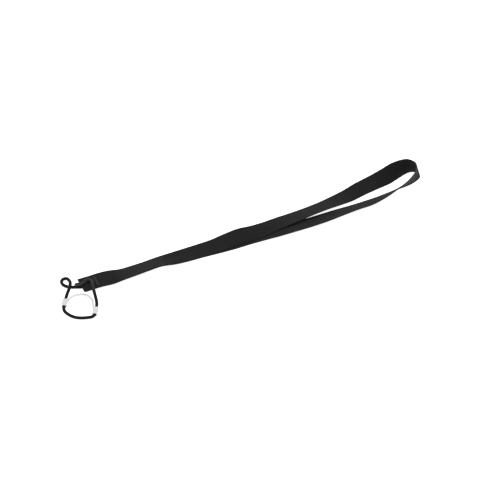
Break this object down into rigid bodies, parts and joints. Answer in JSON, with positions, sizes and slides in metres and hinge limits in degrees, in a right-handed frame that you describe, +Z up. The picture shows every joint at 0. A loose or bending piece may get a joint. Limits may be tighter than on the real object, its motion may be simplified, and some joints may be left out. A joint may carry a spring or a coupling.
{
  "type": "bottle holder lanyard",
  "caption": "Neck lanyard of flat webbing with a round cord noose and a plastic yoke that grips a drinks bottle's neck.",
  "frame": {"origin": "on the table under the middle of the webbing and yoke, laid out as in use on a table", "axes": "+X from the bottle ring along the webbing to the neck loop's far turn, +Z up from the table"},
  "size_m": [0.4406, 0.0673, 0.02],
  "materials": {
    "webbing": "black woven polyester",
    "cord": "black braided polyester",
    "yoke_plastic": "milky natural plastic, satin",
    "thread": "black sewing thread"
  },
  "bodies": {
    "strap": {"neck_strap": "webbing", "webbing_bar_tack": "thread", "cord_bar_tack": "thread"},
    "noose": {"noose_cord": "cord"},
    "yoke": {"bottle_yoke": "yoke_plastic"}
  },
  "joints": [
    {"name": "noose_fold", "type": "hinge", "parent": "strap", "child": "noose", "pos_m": [-0.1939, 0.0065, 0.0044], "axis": [-0.8585, 0.5128, 0], "range_deg": [-60, 110], "deforming": ["noose_cord"]},
    {"name": "yoke_slide", "type": "slide", "parent": "noose", "child": "yoke", "axis": [0.4848, 0.8746, 0], "range_m": [0, 0.0025]}
  ]
}
